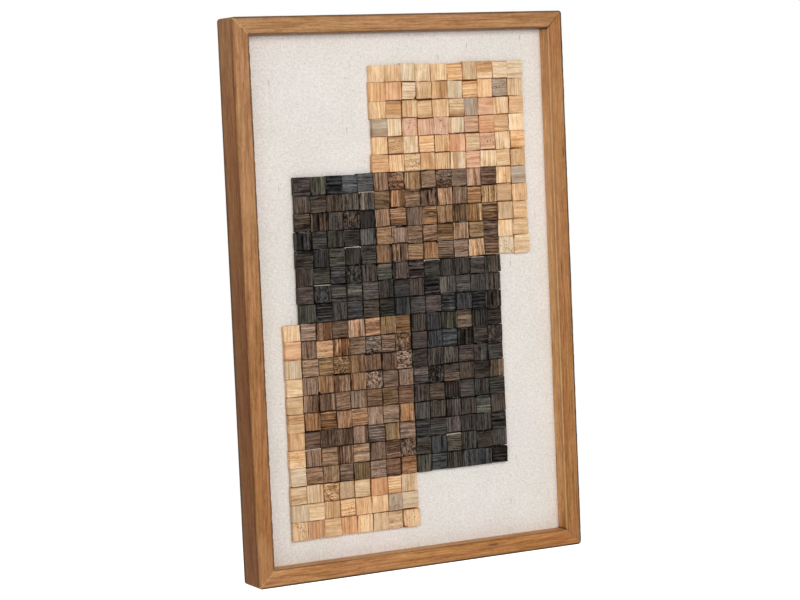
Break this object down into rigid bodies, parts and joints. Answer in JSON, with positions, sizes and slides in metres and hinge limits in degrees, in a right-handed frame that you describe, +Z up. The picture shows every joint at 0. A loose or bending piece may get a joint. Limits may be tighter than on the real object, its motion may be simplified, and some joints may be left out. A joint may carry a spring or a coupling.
{
  "type": "wood relief wall panel",
  "caption": "Upright wall panel: small square wood blocks in pale, brown and black overlapping rectangles, glued on rough paper inside a deep mitred wood frame.",
  "frame": {"origin": "middle of the top rail's back face, which lies against the wall", "axes": "+Z up along the panel's height, +X to the right as seen from the front, +Y into the wall; the panel faces -Y"},
  "size_m": [0.6, 0.058, 0.9001],
  "materials": {
    "frame_wood": "honey brown stain, satin, eased edges",
    "backing_board": "bare thin plywood",
    "backing_paper": "rough off-white fibre paper, matt",
    "pale_wood": "unfinished pale reclaimed wood",
    "brown_wood": "brown weathered reclaimed wood, matt",
    "black_wood": "black stained weathered wood, matt"
  },
  "bodies": {
    "root": {"backing_board": "backing_board", "backing_paper": "backing_paper", "black_left_row_1": "black_wood", "black_left_row_2": "black_wood", "black_left_row_3": "black_wood", "black_left_row_4": "black_wood", "black_left_row_5": "black_wood", "black_middle_row_1": "black_wood", "black_middle_row_2": "black_wood", "black_middle_row_3": "black_wood", "black_right_row_1": "black_wood", "black_right_row_2": "black_wood", "black_right_row_3": "black_wood", "black_right_row_4": "black_wood", "black_right_row_5": "black_wood", "black_right_row_6": "black_wood", "black_right_row_7": "black_wood", "black_right_row_8": "black_wood", "black_right_row_9": "black_wood", "bottom_rail": "frame_wood", "left_rail": "frame_wood", "lower_brown_row_1": "brown_wood", "lower_brown_row_2": "brown_wood", "lower_brown_row_3": "brown_wood", "lower_brown_row_4": "brown_wood", "lower_brown_row_5": "brown_wood", "lower_brown_row_6": "brown_wood", "lower_brown_row_7": "brown_wood", "lower_brown_row_8": "brown_wood", "lower_brown_row_9": "brown_wood", "lower_pale_column": "pale_wood", "lower_pale_row_1": "pale_wood", "lower_pale_row_2": "pale_wood", "lower_pale_row_3": "pale_wood", "right_rail": "frame_wood", "top_rail": "frame_wood", "upper_brown_row_1": "brown_wood", "upper_brown_row_2": "brown_wood", "upper_brown_row_3": "brown_wood", "upper_brown_row_4": "brown_wood", "upper_brown_row_5": "brown_wood", "upper_pale_column_1": "pale_wood", "upper_pale_column_2": "pale_wood", "upper_pale_row_1": "pale_wood", "upper_pale_row_2": "pale_wood", "upper_pale_row_3": "pale_wood", "upper_pale_row_4": "pale_wood", "upper_pale_row_5": "pale_wood", "upper_pale_row_6": "pale_wood"}
  },
  "joints": []
}
